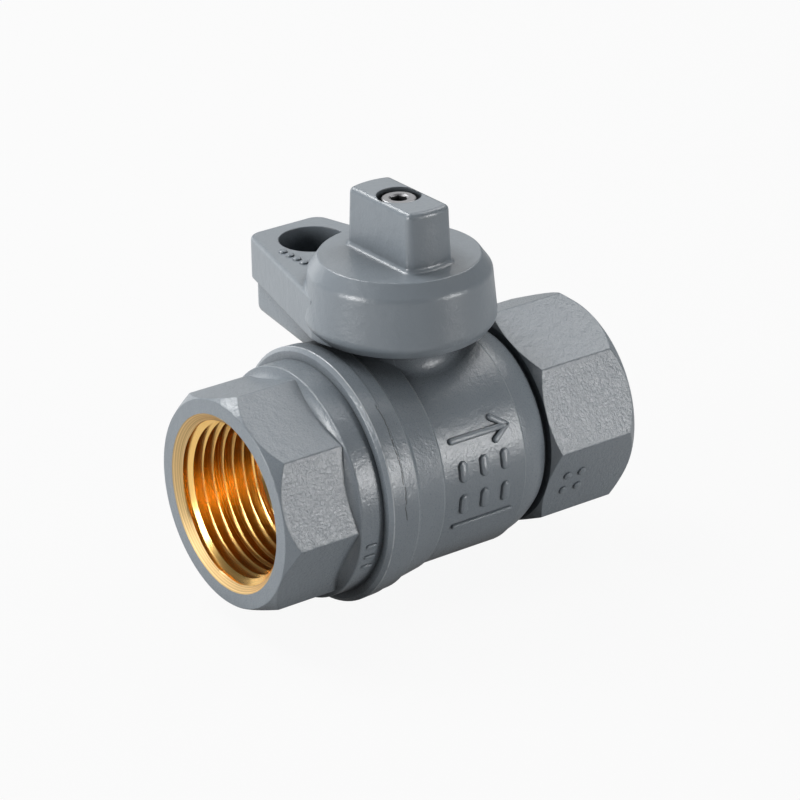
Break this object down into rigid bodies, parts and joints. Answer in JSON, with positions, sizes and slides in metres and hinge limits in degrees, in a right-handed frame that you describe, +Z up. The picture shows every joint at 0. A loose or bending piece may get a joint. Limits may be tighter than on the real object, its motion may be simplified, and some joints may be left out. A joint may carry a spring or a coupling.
{
  "type": "gas meter valve",
  "caption": "Quarter-turn ball valve with female threaded ends, octagon wrench grips, a tee-blade cap and a padlock wing over a matching fixed wing.",
  "frame": {"origin": "centre of the inlet face, where the inlet thread's axis meets the open end", "axes": "+X along the pipe from inlet to outlet, +Z up the stem towards the blade, +Y towards the lock wings in the closed pose"},
  "size_m": [0.0805, 0.0627, 0.0751],
  "materials": {
    "grey_paint": "satin grey paint over forged brass",
    "ball_chrome": "polished chrome plate",
    "seat_white": "white low-friction plastic",
    "seal_black": "black rubber",
    "stem_brass": "turned brass",
    "screw_steel": "zinc plated steel"
  },
  "bodies": {
    "valve": {"valve_body": "grey_paint", "end_cap": "grey_paint", "inlet_seat": "seat_white", "outlet_seat": "seat_white", "body_seal": "seal_black"},
    "operator": {"lock_wing_cap": "grey_paint", "handle_screw": "screw_steel", "stem": "stem_brass", "ball": "ball_chrome", "thrust_washer": "seat_white", "lower_stem_o_ring": "seal_black", "upper_stem_o_ring": "seal_black"}
  },
  "joints": [
    {"name": "quarter_turn", "type": "hinge", "parent": "valve", "child": "operator", "pos_m": [0.0405, 0, 0.04], "axis": [0, 0, 1], "range_deg": [0, 90]}
  ]
}
